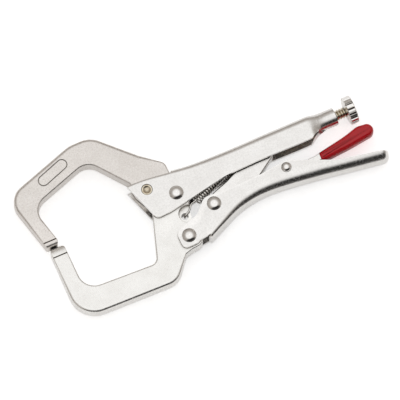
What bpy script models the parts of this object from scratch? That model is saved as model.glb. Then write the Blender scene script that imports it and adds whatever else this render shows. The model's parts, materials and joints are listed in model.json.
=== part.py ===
"""C-clamp locking pliers, six-inch class, lying on their side.

Frame: metres, +Z up.  The origin is on the axis of the jaw pivot, in the plane that the rivet
heads rest on.  +X runs along the adjusting screw towards its knob, +Y towards the spine of the
upper handle.  Every pivot axis is parallel to Z.
"""
import math

import bmesh
import bpy
from mathutils import Vector

MM = 0.001

# ---- driving dimensions, in millimetres ---------------------------------------------------
GAP = 0.3                      # running gap between neighbouring pieces
SHEET = 1.6                    # sheet that both handles are folded from
HANDLE_WIDTH = 12.0            # outside width of a folded handle, along Z
FOLD_RADIUS = 2.2              # outer radius of the upper handle's folds
JAW_THICKNESS = 8.0
JAW_EDGE = 0.45                # broken edge along the faces of a jaw
UPPER_TIP_LENGTH = 2.7         # length over which each jaw tip is rounded
LOWER_TIP_LENGTH = 5.1
HEAD_HEIGHT = 1.2              # height of a domed rivet head
HEAD_RADIUS = 3.2
SHANK_RADIUS = 2.0
SMALL_HEAD_RADIUS = 2.3
SMALL_SHANK_RADIUS = 1.4
HEAD_FLAT = 0.45               # radius of the flat on a head, as a share of the head's radius
HEAD_RIM = 0.25                # upright rim below the dome of a head
PIN_RADIUS = 2.45
PIN_DIMPLE_RADIUS = 1.6
PIN_DIMPLE_DEPTH = 0.7
PIN_SINK = 0.15                # how far the pin's ends lie below the handle's faces
PIN_CHAMFER = 0.22

JAW_PIVOT = (0.0, 0.0)
JAW_PIN = (-11.4, 6.7)
HANDLE_PIVOT = (-2.8, -20.5)
LINK_PIVOT = (13.4, -11.4)
LEVER_PIVOT = (49.8, -9.1)
LINK_TIP = (47.0, 5.4)
SPRING_HOLE = (-0.5, -10.6)
SPRING_HOLE_RADIUS = 1.65
SPRING_RECESS = (1.2, -10.6)
SPRING_RECESS_RADIUS = 4.5
SPRING_RECESS_DEPTH = 2.4

SCREW_Y = LINK_TIP[1]
SCREW_RADIUS = 2.4
SCREW_TIP_X = 52.2             # clear of the link's nose by the loop's play
SCREW_SINK = 0.8               # how far the screw's end lies inside the knob
SOCKET_RADIUS = 4.15
SOCKET_START_X = 75.5
SOCKET_END_X = 80.3
SOCKET_CHAMFER = 0.4
SCREW_BORE_START_X = 60.0      # the bore opens into the channel here
KNOB_RADIUS = 6.4
KNOB_START_X = 85.2
KNOB_LENGTH = 4.4
KNOB_RIBS = 16

LINK_THICKNESS = 6.0
LINK_NOSE_RADIUS = 2.2
LEVER_THICKNESS = 5.6
LEVER_SHEET = 1.5
SLEEVE_THICKNESS = 7.2

SPRING_RADIUS = 2.1            # radius of the coil's centre line
SPRING_WIRE_RADIUS = 0.4
SPRING_TURNS = 18
SPRING_START = (7.2, -5.7)
SPRING_END = (28.6, 3.8)
SPRING_TAB_X = 31.0
SPRING_TAB_Y = 4.9
SPRING_TAB_HALF_WIDTH = 1.7
SPRING_TAB_THICKNESS = 1.4
SPRING_TAB_HOLE_RADIUS = 0.85

MID_Z = HANDLE_WIDTH / 2 + GAP + HEAD_HEIGHT
FACE_Z = HANDLE_WIDTH / 2
INNER_Z = FACE_Z - SHEET
JAW_Z = JAW_THICKNESS / 2

# ---- colours: base colour, roughness, metallic --------------------------------------------
SATIN_STEEL = ((0.66, 0.64, 0.61), 0.32, 1.0)
BRIGHT_STEEL = ((0.78, 0.77, 0.75), 0.16, 1.0)
DARK_STEEL = ((0.36, 0.33, 0.29), 0.35, 1.0)
SPRING_STEEL = ((0.30, 0.29, 0.28), 0.30, 1.0)
RED_VINYL = ((0.42, 0.008, 0.012), 0.28, 0.0)


# ---- helpers ------------------------------------------------------------------------------
def material(name, finish):
    colour, roughness, metallic = finish
    result = bpy.data.materials.new(name)
    result.use_nodes = True
    shader = result.node_tree.nodes["Principled BSDF"]
    shader.inputs["Base Color"].default_value = (*colour, 1.0)
    shader.inputs["Roughness"].default_value = roughness
    shader.inputs["Metallic"].default_value = metallic
    return result


def place(name, mesh, finish, origin=(0.0, 0.0, 0.0)):
    """Put a mesh drawn in frame millimetres into the scene, with its origin on a pivot."""
    body = bpy.data.objects.new(name, mesh)
    bpy.context.scene.collection.objects.link(body)
    pivot = Vector(origin)
    for vertex in mesh.vertices:
        vertex.co = (vertex.co - pivot) * MM
    body.location = pivot * MM
    mesh.materials.append(material(name + "_finish", finish))
    mesh.shade_smooth()
    mesh.set_sharp_from_angle(angle=math.radians(32))
    return body


def mesh_from(build, name):
    """Run build on a fresh bmesh and return a mesh whose faces point outwards."""
    work = bmesh.new()
    build(work)
    bmesh.ops.remove_doubles(work, verts=work.verts, dist=0.0005)
    bmesh.ops.recalc_face_normals(work, faces=work.faces)
    mesh = bpy.data.meshes.new(name)
    work.to_mesh(mesh)
    work.free()
    return mesh


def rounded(corners, arc_step=15.0):
    """Outline with each (x, y, radius) corner replaced by an arc of that radius."""
    points = []
    count = len(corners)
    for index, (x, y, radius) in enumerate(corners):
        here = Vector((x, y))
        before = Vector(corners[index - 1][:2])
        after = Vector(corners[(index + 1) % count][:2])
        back = (before - here).normalized()
        ahead = (after - here).normalized()
        opening = back.angle(ahead)
        if radius <= 0.0 or opening > math.radians(179.0):
            points.append(here)
            continue
        reach = radius / math.tan(opening / 2)
        reach = min(reach, 0.499 * (before - here).length, 0.499 * (after - here).length)
        radius = reach * math.tan(opening / 2)
        centre = here + (back + ahead).normalized() * (radius / math.sin(opening / 2))
        start = here + back * reach - centre
        sweep = math.pi - opening
        if back.cross(ahead) > 0.0:
            sweep = -sweep
        steps = max(1, math.ceil(math.degrees(abs(sweep)) / arc_step))
        for step in range(steps + 1):
            angle = sweep * step / steps
            turned = Vector((start.x * math.cos(angle) - start.y * math.sin(angle),
                             start.x * math.sin(angle) + start.y * math.cos(angle)))
            points.append(centre + turned)
    return points


def inset(points, distance):
    """Closed outline moved inwards by distance, point by point along its normals."""
    area = sum(p.cross(points[(i + 1) % len(points)]) for i, p in enumerate(points))
    turn = 1.0 if area > 0.0 else -1.0
    moved = []
    for index, point in enumerate(points):
        back = (point - points[index - 1]).normalized()
        ahead = (points[(index + 1) % len(points)] - point).normalized()
        normal = Vector((-back.y - ahead.y, back.x + ahead.x)).normalized() * turn
        lean = max(0.5, abs(normal.dot(Vector((-back.y, back.x)))))
        moved.append(point + normal * (distance / lean))
    return moved


def loft(work, rings):
    """Skin closed rings of equal length and cap both ends."""
    loops = [[work.verts.new(point) for point in ring] for ring in rings]
    for first, second in zip(loops, loops[1:]):
        for index in range(len(first)):
            following = (index + 1) % len(first)
            work.faces.new((first[index], first[following], second[following], second[index]))
    work.faces.new(loops[0])
    work.faces.new(loops[-1])


def plate_mesh(name, outline, half_thickness, edge=0.0, edge_steps=1, mid_z=MID_Z):
    """Flat plate about mid_z whose rims are rounded by edge."""
    levels = [(0.0, half_thickness)]
    if edge > 0.0:
        levels = []
        for step in range(edge_steps + 1):
            angle = math.radians(90.0) * step / edge_steps
            shift = edge * (1 - math.cos(angle))
            levels.append((shift, half_thickness - edge * (1 - math.sin(angle))))
        levels.reverse()

    def build(work):
        rings = [[(p.x, p.y, mid_z - height) for p in inset(outline, shift)]
                 for shift, height in levels]
        rings += [[(p.x, p.y, mid_z + height) for p in inset(outline, shift)]
                  for shift, height in reversed(levels)]
        loft(work, rings)
    return mesh_from(build, name)


def turned_mesh(name, profile, steps=24):
    """Solid turned about Z from (radius, height) points that start and end on the axis."""
    def build(work):
        verts = [work.verts.new((radius, 0.0, height)) for radius, height in profile]
        edges = [work.edges.new(pair) for pair in zip(verts, verts[1:])]
        bmesh.ops.spin(work, geom=verts + edges, cent=(0, 0, 0), axis=(0, 0, 1),
                       angle=math.tau, steps=steps, use_merge=True)
    return mesh_from(build, name)


def cutter(name, mesh):
    """Helper solid in frame millimetres that only cuts or joins."""
    tool = bpy.data.objects.new(name, mesh)
    bpy.context.scene.collection.objects.link(tool)
    for vertex in mesh.vertices:
        vertex.co = vertex.co * MM
    tool.hide_render = True
    tool.display_type = "WIRE"
    return tool


def combine(body, tool, operation="DIFFERENCE"):
    modifier = body.modifiers.new(tool.name, "BOOLEAN")
    modifier.operation = operation
    modifier.solver = "EXACT"
    modifier.object = tool


def box_tool(name, low, high):
    outline = [Vector((low[0], low[1])), Vector((high[0], low[1])),
               Vector((high[0], high[1])), Vector((low[0], high[1]))]
    half = (high[2] - low[2]) / 2
    return cutter(name, plate_mesh(name, outline, half, mid_z=(high[2] + low[2]) / 2))


def hole_tool(name, centre, radius, low=-1.0, high=2 * MID_Z + 1.0, steps=20):
    circle = [Vector((centre[0] + radius * math.cos(math.tau * i / steps),
                      centre[1] + radius * math.sin(math.tau * i / steps))) for i in range(steps)]
    return cutter(name, plate_mesh(name, circle, (high - low) / 2, mid_z=(high + low) / 2))


def smooth_value(points, x):
    """Value at x of a smooth curve through (x, value) points."""
    for index in range(len(points) - 1):
        x0, y0 = points[index]
        x1, y1 = points[index + 1]
        if x <= x1 or index == len(points) - 2:
            break
    span = x1 - x0
    slope0 = slope_at(points, index) * span
    slope1 = slope_at(points, index + 1) * span
    t = min(1.0, max(0.0, (x - x0) / span))
    return ((2 * t**3 - 3 * t**2 + 1) * y0 + (t**3 - 2 * t**2 + t) * slope0
            + (-2 * t**3 + 3 * t**2) * y1 + (t**3 - t**2) * slope1)


def slope_at(points, index):
    before = points[max(0, index - 1)]
    after = points[min(len(points) - 1, index + 1)]
    return (after[1] - before[1]) / (after[0] - before[0])


def channel_ring(x, low, high, half_width, fold, fold_side, steps=4):
    """Section across X: a rectangle whose two corners on one side are folds."""
    points = []
    sharp = high if fold_side == "low" else low
    folded = low if fold_side == "low" else high
    inward = 1.0 if fold_side == "low" else -1.0
    points.append((x, sharp, MID_Z - half_width))
    for step in range(steps + 1):
        angle = math.radians(90.0) * step / steps
        points.append((x, folded + inward * fold * (1 - math.sin(angle)),
                       MID_Z - half_width + fold * (1 - math.cos(angle))))
    for step in range(steps, -1, -1):
        angle = math.radians(90.0) * step / steps
        points.append((x, folded + inward * fold * (1 - math.sin(angle)),
                       MID_Z + half_width - fold * (1 - math.cos(angle))))
    points.append((x, sharp, MID_Z + half_width))
    return points


# ---- rivets and pins ----------------------------------------------------------------------
def head_profile(radius, base, height, side):
    """Points of a domed head from its flat to its rim, on one side of a rivet."""
    flat = HEAD_FLAT * radius
    points = [(0.0, side * (base + height))]
    for step in range(5):
        angle = math.radians(90.0) * step / 4
        points.append((flat + (radius - flat) * math.sin(angle),
                       side * (base + HEAD_RIM + (height - HEAD_RIM) * math.cos(angle))))
    points.append((radius, side * base))
    return points


def rivet(name, centre, head_radius, shank_radius):
    base = FACE_Z + GAP
    top = head_profile(head_radius, base, HEAD_HEIGHT, 1.0)
    bottom = head_profile(head_radius, base, HEAD_HEIGHT, -1.0)
    profile = top + [(shank_radius, base), (shank_radius, -base)] + bottom[::-1]
    return place_turned(name, profile, centre, BRIGHT_STEEL)


def place_turned(name, profile, centre, finish):
    mesh = turned_mesh(name, profile)
    for vertex in mesh.vertices:
        vertex.co = vertex.co + Vector((centre[0], centre[1], MID_Z))
    return place(name, mesh, finish, (centre[0], centre[1], MID_Z))


def jaw_pin():
    """Plain pin that holds the fixed jaw, with a dimple in each end."""
    end = FACE_Z - PIN_SINK
    profile = [(0.0, end - PIN_DIMPLE_DEPTH), (PIN_DIMPLE_RADIUS, end),
               (PIN_RADIUS - PIN_CHAMFER, end), (PIN_RADIUS, end - PIN_CHAMFER)]
    mirrored = [(radius, -height) for radius, height in profile[::-1]]
    return place_turned("upper_jaw_pin", profile + mirrored, JAW_PIN, DARK_STEEL)


# ---- jaws ---------------------------------------------------------------------------------
def nose_tool(name, flat_y, tip_y):
    """Cutter that rounds a jaw tip over its thickness, from flat_y on the face to tip_y."""
    side = 1.0 if flat_y > tip_y else -1.0
    reach = abs(flat_y - tip_y)
    wide = JAW_Z + 1.0
    beyond = tip_y - side * 2.0
    steps = 12
    section = [(flat_y, wide), (beyond, wide), (beyond, -wide), (flat_y, -wide)]
    for step in range(steps + 1):
        angle = math.radians(-90.0 + 180.0 * step / steps)
        section.append((flat_y - side * reach * math.cos(angle), JAW_Z * math.sin(angle)))

    def build(work):
        loft(work, [[(x, y, MID_Z + z) for y, z in section] for x in (-70.0, -50.0)])
    return cutter(name, mesh_from(build, name))


def upper_jaw():
    outline = rounded([(-56.5, 0.0, 1.2), (-61.2, 20.1, 7.5), (-30.5, 30.2, 7.5), (-17.2, 12.9, 0.0),
                       (-16.6, 7.5, 2.0), (-14.0, 1.8, 2.0), (-8.6, 2.8, 1.5), (-5.6, 7.2, 2.0),
                       (1.3, 7.4, 0.5), (1.3, 15.6, 3.5), (-8.0, 23.6, 0.0), (-24.6, 40.4, 11.0),
                       (-35.0, 40.4, 14.0), (-61.6, 32.2, 6.0), (-68.9, 29.0, 5.0),
                       (-68.2, 19.8, 8.0), (-62.9, 0.0, 1.2)])
    body = place("upper_jaw", plate_mesh("upper_jaw", outline, JAW_Z, JAW_EDGE), SATIN_STEEL)
    combine(body, nose_tool("upper_nose_tool", UPPER_TIP_LENGTH, 0.0))
    combine(body, hole_tool("upper_jaw_pin_hole", JAW_PIN, PIN_RADIUS + GAP))
    return body


def lower_jaw():
    outline = rounded([(-62.3, -GAP, 1.2), (-63.0, -36.2, 13.0), (-39.0, -36.9, 0.0),
                       (-15.4, -37.5, 9.0), (-7.2, -27.5, 1.5), (-3.6, -26.5, 3.0), (2.6, -26.0, 4.5),
                       (1.9, -13.6, 4.0), (2.6, -8.5, 6.0), (6.1, -1.0, 3.0), (5.9, 6.0, 5.8),
                       (-4.6, 6.0, 4.8), (-6.6, 0.6, 2.0), (-12.6, -1.6, 1.5), (-20.9, -25.8, 3.6),
                       (-55.0, -24.2, 7.6), (-55.4, -GAP, 1.2)])
    body = place("lower_jaw", plate_mesh("lower_jaw", outline, JAW_Z, JAW_EDGE), SATIN_STEEL,
                 (*JAW_PIVOT, MID_Z))
    combine(body, nose_tool("lower_nose_tool", -GAP - LOWER_TIP_LENGTH, -GAP))
    combine(body, hole_tool("jaw_pivot_hole", JAW_PIVOT, SHANK_RADIUS + GAP))
    combine(body, hole_tool("handle_pivot_hole", HANDLE_PIVOT, SHANK_RADIUS + GAP))
    recess_low = MID_Z + JAW_Z - SPRING_RECESS_DEPTH
    combine(body, hole_tool("spring_recess", SPRING_RECESS, SPRING_RECESS_RADIUS,
                            low=recess_low, steps=28))
    combine(body, hole_tool("spring_hole", SPRING_HOLE, SPRING_HOLE_RADIUS, steps=16))
    return body


# ---- upper handle -------------------------------------------------------------------------
# (x, y) of the outside of the folded edge
UPPER_SPINE = [(-22.0, 12.6), (-12.0, 12.6), (0.8, 11.1), (12.0, 9.9), (30.0, 9.5), (45.0, 9.7),
               (60.0, 9.75), (70.0, 9.8)]
UPPER_START_X = -22.0
NECK_START_X = 66.0
NECK_LOW_Y = -1.2
NECK_HIGH_Y = 9.7
WALL_LOW_Y = -9.0              # below every edge of the side walls ahead of the neck
JAW_SLOT_END_X = 1.8           # the spine is open for the fixed jaw up to here


def neck_ring(x, points=24):
    """Section of the neck: the folded channel's outline turning into the round socket."""
    share = min(1.0, max(0.0, (x - NECK_START_X) / (SOCKET_START_X - NECK_START_X)))
    ease = share * share * (3 - 2 * share)
    low = (1 - ease) * NECK_LOW_Y + ease * (SCREW_Y - SOCKET_RADIUS)
    high = (1 - ease) * NECK_HIGH_Y + ease * (SCREW_Y + SOCKET_RADIUS)
    half = (1 - ease) * FACE_Z + ease * SOCKET_RADIUS
    corner = (1 - ease) * FOLD_RADIUS + ease * SOCKET_RADIUS
    ring = []
    middle = (low + high) / 2
    tall = (high - low) / 2
    cut = min(corner, tall, half)
    last = points // 4 - 1
    for quarter in range(4):
        sign_y = 1.0 if quarter in (0, 1) else -1.0
        sign_z = 1.0 if quarter in (0, 3) else -1.0
        for step in range(last + 1):
            angle = math.radians(90.0) * (quarter + step / last)
            ring.append((x, middle + sign_y * (tall - cut) + cut * math.sin(angle),
                         MID_Z + sign_z * (half - cut) + cut * math.cos(angle)))
    return ring


def upper_handle():
    stations = [UPPER_START_X, -16.0, -12.0, -8.0, -4.0, 0.8, 6.0, 12.0, 20.0, 30.0, 45.0, 58.0,
                NECK_START_X + 1.0]

    def outer(work):
        rings = [channel_ring(x, WALL_LOW_Y, smooth_value(UPPER_SPINE, x), FACE_Z, FOLD_RADIUS, "high")
                 for x in stations]
        loft(work, rings)
    body = place("upper_handle", mesh_from(outer, "upper_handle"), SATIN_STEEL)

    profile = rounded([(-19.8, 13.6, 1.5), (-12.7, -7.3, 2.6), (-5.5, -7.0, 6.0), (24.0, -1.5, 40.0),
                       (40.0, -1.0, 0.0), (60.0, -1.3, 0.0), (72.0, -1.2, 1.5), (72.0, 20.0, 0.0),
                       (-16.0, 20.0, 0.0)])
    side = cutter("upper_handle_side", plate_mesh("upper_handle_side", profile, FACE_Z + 2.0))
    combine(body, side, "INTERSECT")

    def neck(work):
        places = [NECK_START_X + 0.4, 68.0, 69.5, 71.0, 72.5, 74.0, SOCKET_START_X,
                  SOCKET_END_X - SOCKET_CHAMFER]
        rings = [neck_ring(x) for x in places]
        rim = neck_ring(SOCKET_END_X)
        shrink = (SOCKET_RADIUS - SOCKET_CHAMFER) / SOCKET_RADIUS
        rings.append([(x, SCREW_Y + (y - SCREW_Y) * shrink, MID_Z + (z - MID_Z) * shrink)
                      for x, y, z in rim])
        loft(work, rings)
    combine(body, cutter("neck", mesh_from(neck, "neck")), "UNION")

    def cavity(work):
        places = [UPPER_START_X - 2.0] + stations[1:-1] + [NECK_START_X]
        loft(work, [channel_ring(x, WALL_LOW_Y - 3.0, smooth_value(UPPER_SPINE, x) - SHEET, INNER_Z,
                                 FOLD_RADIUS - SHEET, "high") for x in places])
    combine(body, cutter("upper_cavity", mesh_from(cavity, "upper_cavity")))
    combine(body, box_tool("jaw_slot", (UPPER_START_X - 2.0, 5.0, MID_Z - INNER_Z),
                           (JAW_SLOT_END_X, 20.0, MID_Z + INNER_Z)))
    combine(body, along_x("screw_bore", SCREW_RADIUS + GAP, SCREW_BORE_START_X, SOCKET_END_X + 2.0,
                          SCREW_Y))
    combine(body, hole_tool("upper_pivot_hole", JAW_PIVOT, SHANK_RADIUS + GAP))
    combine(body, hole_tool("upper_pin_hole", JAW_PIN, PIN_RADIUS + GAP))
    tab_top = smooth_value(UPPER_SPINE, SPRING_TAB_X) - SHEET / 2
    tab = box_tool("spring_tab",
                   (SPRING_TAB_X, SPRING_TAB_Y - SPRING_TAB_HALF_WIDTH, MID_Z - SPRING_TAB_HALF_WIDTH),
                   (SPRING_TAB_X + SPRING_TAB_THICKNESS, tab_top, MID_Z + SPRING_TAB_HALF_WIDTH))
    combine(body, tab, "UNION")
    combine(body, along_x("tab_hole", SPRING_TAB_HOLE_RADIUS, SPRING_TAB_X - 1.0,
                          SPRING_TAB_X + SPRING_TAB_THICKNESS + 1.0, SPRING_TAB_Y, 12))
    return body


def along_x(name, radius, start, end, y, steps=20):
    def build(work):
        loft(work, [[(x, y + radius * math.cos(math.tau * i / steps),
                      MID_Z + radius * math.sin(math.tau * i / steps)) for i in range(steps)]
                    for x in (start, end)])
    return cutter(name, mesh_from(build, name))


# ---- lower handle -------------------------------------------------------------------------
# (x, y) of the outside of the folded edge
LOWER_SPINE = [(4.0, -26.6), (13.5, -22.3), (23.0, -18.4), (33.0, -16.5), (43.0, -16.6),
               (62.0, -19.0), (80.0, -22.0), (95.0, -24.3)]
# (x, radius) of the fold, which widens until the tail is nearly half round
LOWER_FOLD = [(4.0, 2.2), (14.0, 2.8), (28.0, 4.0), (43.0, 4.6), (62.0, 5.0), (80.0, 5.4),
              (95.0, 5.6)]
SPINE_START_X = 6.3
LOWER_END_X = 94.8


def lower_handle():
    stations = [-8.0, 6.0, 10.0, 13.5, 18.0, 23.0, 28.0, 33.0, 38.0, 43.0, 50.0, 56.0, 62.0, 71.0,
                80.0, 88.0, 96.0]

    def outer(work):
        rings = []
        for x in stations:
            along = max(x, LOWER_SPINE[0][0])
            rings.append(channel_ring(x, smooth_value(LOWER_SPINE, along), -2.0, FACE_Z,
                                      smooth_value(LOWER_FOLD, along), "low"))
        loft(work, rings)
    body = place("lower_handle", mesh_from(outer, "lower_handle"), SATIN_STEEL,
                 (*HANDLE_PIVOT, MID_Z))

    profile = rounded([(-7.5, -25.3, 4.7), (-7.5, -16.9, 3.8), (4.4, -13.1, 5.0), (10.2, -7.1, 4.0),
                       (26.0, -7.8, 0.0), (38.0, -7.5, 0.0), (51.4, -6.0, 7.0), (72.0, -15.2, 20.0),
                       (91.0, -18.8, 3.5), (LOWER_END_X, -22.0, 3.0), (LOWER_END_X, -30.0, 0.0),
                       (SPINE_START_X, -30.0, 0.0), (SPINE_START_X, -23.7, 0.3), (1.6, -24.3, 2.0),
                       (-0.8, -25.3, 1.5)], arc_step=12.0)
    side = cutter("lower_handle_side", plate_mesh("lower_handle_side", profile, FACE_Z + 2.0))
    combine(body, side, "INTERSECT")

    def cavity(work):
        places = [x for x in stations if 4.0 < x < 92.0] + [LOWER_END_X - SHEET]
        loft(work, [channel_ring(x, smooth_value(LOWER_SPINE, x) + SHEET, 2.0, INNER_Z,
                                 smooth_value(LOWER_FOLD, x) - SHEET, "low") for x in places])
    combine(body, cutter("lower_cavity", mesh_from(cavity, "lower_cavity")))
    combine(body, box_tool("ear_slot", (-10.0, -30.0, MID_Z - INNER_Z),
                           (SPINE_START_X, 0.0, MID_Z + INNER_Z)))
    for name, centre, radius in (("ear_hole", HANDLE_PIVOT, SHANK_RADIUS),
                                 ("link_hole", LINK_PIVOT, SHANK_RADIUS),
                                 ("lever_hole", LEVER_PIVOT, SMALL_SHANK_RADIUS)):
        combine(body, hole_tool("lower_" + name, centre, radius + GAP))
    return body


# ---- toggle link --------------------------------------------------------------------------
def link_point(along, across, radius):
    """Corner of the link's outline, given along and across the line of its two centres."""
    run = Vector(LINK_TIP) - Vector(LINK_PIVOT)
    direction = run.normalized()
    point = Vector(LINK_PIVOT) + direction * along + Vector((-direction.y, direction.x)) * across
    return (point.x, point.y, radius)


def toggle_link():
    end = (Vector(LINK_TIP) - Vector(LINK_PIVOT)).length + LINK_NOSE_RADIUS
    corners = [link_point(*corner) for corner in
               [(-4.3, -4.3, 4.2), (22.0, -7.2, 5.0), (34.5, -5.6, 3.0), (end, -2.3, 2.2),
                (end, LINK_NOSE_RADIUS, 2.1), (12.0, 3.0, 8.0), (4.5, 4.1, 4.0), (-4.3, 4.1, 4.0)]]
    body = place("toggle_link", plate_mesh("toggle_link", rounded(corners), LINK_THICKNESS / 2, 0.5),
                 SATIN_STEEL, (*LINK_PIVOT, MID_Z))
    combine(body, hole_tool("toggle_pivot_hole", LINK_PIVOT, SHANK_RADIUS + GAP))
    return body


# ---- release lever ------------------------------------------------------------------------
SLEEVE_OUTLINE = [(65.6, -12.3, 1.2), (65.6, -7.9, 1.2), (80.0, -5.3, 30.0), (86.6, -3.4, 6.0),
                  (93.4, -4.0, 3.6), (93.4, -9.6, 3.6), (80.4, -11.2, 20.0)]


def release_lever():
    tail = [(64.0, -8.6, 0.0), (80.0, -6.3, 0.0), (90.5, -5.0, 1.6), (91.5, -8.3, 1.6),
            (80.4, -10.2, 0.0), (64.0, -11.3, 0.0)]
    outline = rounded([(54.0, -12.6, 6.0), (49.8, -12.4, 3.0), (41.4, -12.2, 1.6), (41.4, -8.6, 1.2),
                       (47.2, -6.4, 2.6), (52.0, -6.6, 2.6), (55.0, -9.0, 3.0)] + tail)
    half = LEVER_THICKNESS / 2
    body = place("release_lever", plate_mesh("release_lever", outline, half, 0.3), SATIN_STEEL,
                 (*LEVER_PIVOT, MID_Z))
    pocket = rounded([(40.0, -20.0, 0.0), (61.0, -20.0, 0.0), (61.0, -10.9, 1.0), (55.0, -10.5, 1.0),
                      (52.0, -8.1, 1.0), (40.0, -9.6, 0.0)])
    combine(body, cutter("lever_pocket", plate_mesh("lever_pocket", pocket, half - LEVER_SHEET)))
    combine(body, hole_tool("lever_pivot_hole", LEVER_PIVOT, SMALL_SHANK_RADIUS + GAP))
    return body


def release_lever_sleeve():
    outline = rounded(SLEEVE_OUTLINE)
    mesh = plate_mesh("release_lever_sleeve", outline, SLEEVE_THICKNESS / 2, 1.6, 3)
    body = place("release_lever_sleeve", mesh, RED_VINYL, (*LEVER_PIVOT, MID_Z))
    room = rounded([(60.0, -12.0, 0.0), (60.0, -8.4, 0.0), (64.0, -8.2, 0.0), (80.0, -5.95, 0.0),
                    (90.9, -4.6, 1.9), (91.9, -8.6, 1.9), (80.4, -10.55, 0.0), (64.0, -11.7, 0.0)])
    half = LEVER_THICKNESS / 2 + GAP / 2
    combine(body, cutter("sleeve_pocket", plate_mesh("sleeve_pocket", room, half)))
    return body


# ---- adjusting screw ----------------------------------------------------------------------
def lay_along_x(mesh):
    """Turn a solid drawn about Z so that its axis lies on the screw's axis."""
    for vertex in mesh.vertices:
        x, y, z = vertex.co
        vertex.co = (z, SCREW_Y + y, MID_Z - x)


def adjusting_screw():
    end = KNOB_START_X + KNOB_LENGTH - SCREW_SINK
    profile = [(0.0, end), (SCREW_RADIUS - 0.4, end), (SCREW_RADIUS, end - 0.4),
               (SCREW_RADIUS, SCREW_TIP_X + 1.2), (SCREW_RADIUS - 0.6, SCREW_TIP_X + 0.3),
               (SCREW_RADIUS - 1.4, SCREW_TIP_X), (0.0, SCREW_TIP_X)]
    mesh = turned_mesh("adjusting_screw", profile, 20)
    lay_along_x(mesh)
    return place("adjusting_screw", mesh, DARK_STEEL, (SCREW_TIP_X, SCREW_Y, MID_Z))


def adjusting_knob():
    """Knob with a ribbed rim; each rib and groove spans half of one rib pitch."""
    start, end = KNOB_START_X, KNOB_START_X + KNOB_LENGTH
    bore = SCREW_RADIUS + GAP
    # (x, radius, depth of the grooves there)
    rim = [(start, 4.6, 0.0), (start + 0.7, KNOB_RADIUS - 0.2, 0.5), (start + 1.2, KNOB_RADIUS, 0.6),
           (end - 1.0, KNOB_RADIUS, 0.6), (end - 0.4, KNOB_RADIUS - 0.3, 0.5), (end, 5.2, 0.0)]
    hollow = [(end, bore), (start, bore)]
    around = KNOB_RIBS * 4

    def build(work):
        rings = []
        for x, radius, depth in rim:
            ring = []
            for index in range(around):
                angle = math.tau * index / around
                reach = radius - (depth if index % 4 in (2, 3) else 0.0)
                ring.append((x, SCREW_Y + reach * math.cos(angle), MID_Z + reach * math.sin(angle)))
            rings.append(ring)
        for x, radius in hollow:
            rings.append([(x, SCREW_Y + radius * math.cos(math.tau * i / around),
                           MID_Z + radius * math.sin(math.tau * i / around)) for i in range(around)])
        loops = [[work.verts.new(point) for point in ring] for ring in rings]
        for first, second in zip(loops, loops[1:] + loops[:1]):
            for index in range(around):
                after = (index + 1) % around
                work.faces.new((first[index], first[after], second[after], second[index]))
    return place("adjusting_knob", mesh_from(build, "adjusting_knob"), BRIGHT_STEEL,
                 (KNOB_START_X, SCREW_Y, MID_Z))


# ---- return spring ------------------------------------------------------------------------
def spring_points():
    """Centre line of the wire: hook in the lower jaw, coil, hook through the handle's tab."""
    start = Vector((*SPRING_START, MID_Z))
    end = Vector((*SPRING_END, MID_Z))
    axis = (end - start).normalized()
    side = Vector((-axis.y, axis.x, 0.0))
    up = Vector((0.0, 0.0, 1.0))
    top = MID_Z + SPRING_RADIUS
    hole_x, hole_y = SPRING_HOLE
    points = [Vector((hole_x, hole_y, MID_Z - 1.0)),
              Vector((hole_x, hole_y, MID_Z + 1.2)),
              Vector((hole_x + 0.6, hole_y + 0.5, top + 0.15)),
              Vector((hole_x + 3.2, hole_y + 2.4, top + 0.2))]
    steps = SPRING_TURNS * 8
    for step in range(steps + 1):
        angle = math.tau * SPRING_TURNS * step / steps
        centre = start.lerp(end, step / steps)
        points.append(centre + (up * math.cos(angle) + side * math.sin(angle)) * SPRING_RADIUS)
    points.append(Vector((SPRING_END[0] + 1.0, SPRING_TAB_Y, MID_Z + 0.9)))
    points.append(Vector((SPRING_TAB_X - 0.2, SPRING_TAB_Y, MID_Z)))
    points.append(Vector((SPRING_TAB_X + SPRING_TAB_THICKNESS + 1.2, SPRING_TAB_Y, MID_Z)))
    return points


def return_spring():
    points = spring_points()
    sides = 6

    def build(work):
        rings = []
        normal = Vector((1.0, 0.0, 0.0))
        for index, point in enumerate(points):
            before = points[max(0, index - 1)]
            after = points[min(len(points) - 1, index + 1)]
            tangent = (after - before).normalized()
            normal = (normal - tangent * normal.dot(tangent)).normalized()
            across = tangent.cross(normal)
            rings.append([point + (normal * math.cos(math.tau * i / sides)
                                   + across * math.sin(math.tau * i / sides)) * SPRING_WIRE_RADIUS
                          for i in range(sides)])
        loft(work, rings)
    return place("return_spring", mesh_from(build, "return_spring"), SPRING_STEEL)


# ---- assembly -----------------------------------------------------------------------------
def clear_scene():
    for item in list(bpy.data.objects):
        bpy.data.objects.remove(item, do_unlink=True)


def main():
    clear_scene()
    upper_handle()
    upper_jaw()
    jaw_pin()
    rivet("jaw_pivot_rivet", JAW_PIVOT, HEAD_RADIUS, SHANK_RADIUS)
    lower_jaw()
    rivet("handle_pivot_rivet", HANDLE_PIVOT, HEAD_RADIUS, SHANK_RADIUS)
    lower_handle()
    rivet("link_pivot_rivet", LINK_PIVOT, HEAD_RADIUS, SHANK_RADIUS)
    rivet("lever_pivot_rivet", LEVER_PIVOT, SMALL_HEAD_RADIUS, SMALL_SHANK_RADIUS)
    toggle_link()
    release_lever()
    release_lever_sleeve()
    adjusting_screw()
    adjusting_knob()
    return_spring()


main()
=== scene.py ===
"""Looks for the C-clamp locking pliers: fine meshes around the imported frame, materials and stage.

Shapes are drawn in frame millimetres (+X along the adjusting screw, +Y towards the upper handle's
spine, +Z up) and scaled to metres when a piece is placed.  Pivots and sizes come from the frame.
"""
import json
import math

import bmesh
import bpy
from mathutils import Matrix, Vector


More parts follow.
